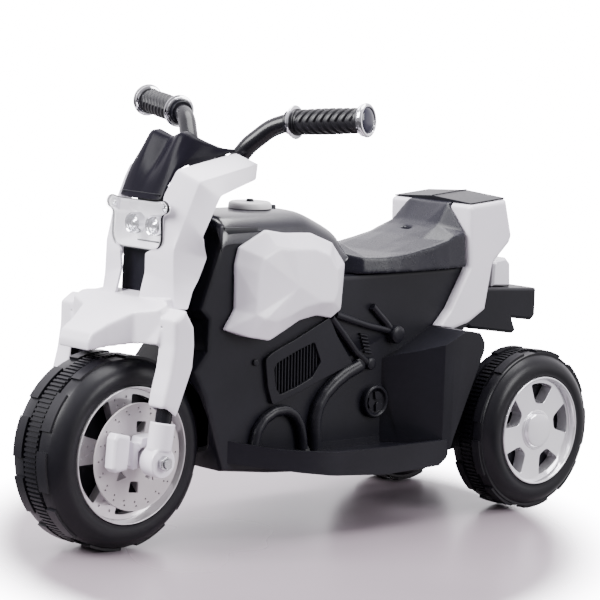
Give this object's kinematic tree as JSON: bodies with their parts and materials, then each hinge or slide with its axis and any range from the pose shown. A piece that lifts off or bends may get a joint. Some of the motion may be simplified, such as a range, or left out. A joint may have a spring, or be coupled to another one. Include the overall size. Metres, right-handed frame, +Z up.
{
  "type": "kids ride-on motorcycle",
  "caption": "White and black electric ride-on motorcycle for a small child, with one front wheel, two rear wheels, a faired headlight, a black seat and chrome wheels.",
  "frame": {"origin": "On the floor, under the middle of the overall length and width", "axes": "+X to the rider's left, +Y to the back (the front faces -Y), +Z up"},
  "size_m": [0.3978, 0.7944, 0.5177],
  "materials": {
    "white_plastic": "glossy moulded plastic",
    "black_plastic": "satin moulded plastic",
    "tyre_plastic": "hard blown plastic, satin",
    "chrome": "bright plating on plastic",
    "steel": "zinc plated steel",
    "black_steel": "black gloss paint on steel",
    "grip_rubber": "soft matte rubber",
    "clear_plastic": "clear lens plastic",
    "lamp_plastic": "milky translucent plastic",
    "green_plastic": "glossy moulded plastic",
    "grey_plastic": "satin moulded plastic",
    "battery_case": "satin plastic case"
  },
  "bodies": {
    "frame": {"body_left": "black_plastic", "body_right": "black_plastic", "head_tube": "steel", "tank_cover": "black_plastic", "tank_panel_left": "white_plastic", "tank_panel_right": "white_plastic", "tank_cap": "grey_plastic", "seat": "black_plastic", "tail_panel_left": "white_plastic", "tail_panel_right": "white_plastic", "tail_bracket": "black_plastic", "tail_lamp": "lamp_plastic", "rear_axle": "steel", "rear_axle_nut_left": "steel", "rear_axle_nut_right": "steel", "battery": "battery_case", "gearbox_case": "grey_plastic", "drive_motor": "steel", "charging_socket": "black_plastic"},
    "steering": {"handlebar": "black_steel", "handlebar_clamp": "black_plastic", "steering_column": "steel", "grip_left": "grip_rubber", "grip_right": "grip_rubber", "grip_ring_left": "chrome", "grip_ring_right": "chrome", "bar_end_left": "chrome", "bar_end_right": "chrome", "windshield_cowl": "black_plastic", "fairing_left": "white_plastic", "fairing_right": "white_plastic", "headlight_reflector": "chrome", "headlight_lens": "clear_plastic", "front_fender": "white_plastic", "fork_yoke": "black_steel", "fork_stanchion_left": "black_steel", "fork_stanchion_right": "black_steel", "fork_slider_left": "white_plastic", "fork_slider_right": "white_plastic", "brake_caliper_left": "white_plastic", "brake_caliper_right": "white_plastic", "front_axle": "steel", "front_axle_nut_left": "steel", "front_axle_nut_right": "steel"},
    "front_wheel": {"front_tyre": "tyre_plastic", "front_rim_left": "white_plastic", "front_rim_right": "white_plastic", "front_disc_left": "white_plastic", "front_disc_right": "white_plastic"},
    "rear_wheel_left": {"rear_tyre_left": "tyre_plastic", "rear_rim_left": "chrome", "hub_cap_left": "chrome"},
    "rear_wheel_right": {"rear_tyre_right": "tyre_plastic", "rear_rim_right": "chrome", "hub_cap_right": "chrome", "drive_coupling": "grey_plastic"},
    "pedal": {"foot_pedal": "black_plastic"},
    "rocker": {"power_rocker": "green_plastic"},
    "music_key": {"music_button": "black_plastic"},
    "horn_key": {"horn_button": "black_plastic"}
  },
  "joints": [
    {"name": "steering", "type": "hinge", "parent": "frame", "child": "steering", "pos_m": [0, -0.21922, 0.23861], "axis": [0, 0.3907, 0.9205], "range_deg": [-30, 30]},
    {"name": "front_wheel_spin", "type": "hinge", "parent": "steering", "child": "front_wheel", "pos_m": [0, -0.28475, 0.1125], "axis": [1, 0, 0], "continuous": true},
    {"name": "rear_wheel_left_spin", "type": "hinge", "parent": "frame", "child": "rear_wheel_left", "pos_m": [0.1107, 0.29675, 0.1005], "axis": [1, 0, 0], "continuous": true},
    {"name": "rear_wheel_right_spin", "type": "hinge", "parent": "frame", "child": "rear_wheel_right", "pos_m": [-0.1107, 0.29675, 0.1005], "axis": [1, 0, 0], "continuous": true},
    {"name": "pedal_press", "type": "hinge", "parent": "frame", "child": "pedal", "pos_m": [-0.09, 0.06025, 0.0975], "axis": [1, 0, 0], "range_deg": [0, 6], "stiffness_Nm_per_rad": 0.5, "springref_deg": -5.73},
    {"name": "rocker_tilt", "type": "hinge", "parent": "frame", "child": "rocker", "pos_m": [0, -0.00183, 0.36426], "axis": [1, 0, 0], "range_deg": [-10, 10]},
    {"name": "music_press", "type": "slide", "parent": "frame", "child": "music_key", "axis": [0, 0, -1], "range_m": [0, 0.002], "stiffness_N_per_m": 150, "springref_m": -0.002},
    {"name": "horn_press", "type": "slide", "parent": "frame", "child": "horn_key", "axis": [0, 0, -1], "range_m": [0, 0.002], "stiffness_N_per_m": 150, "springref_m": -0.002}
  ]
}
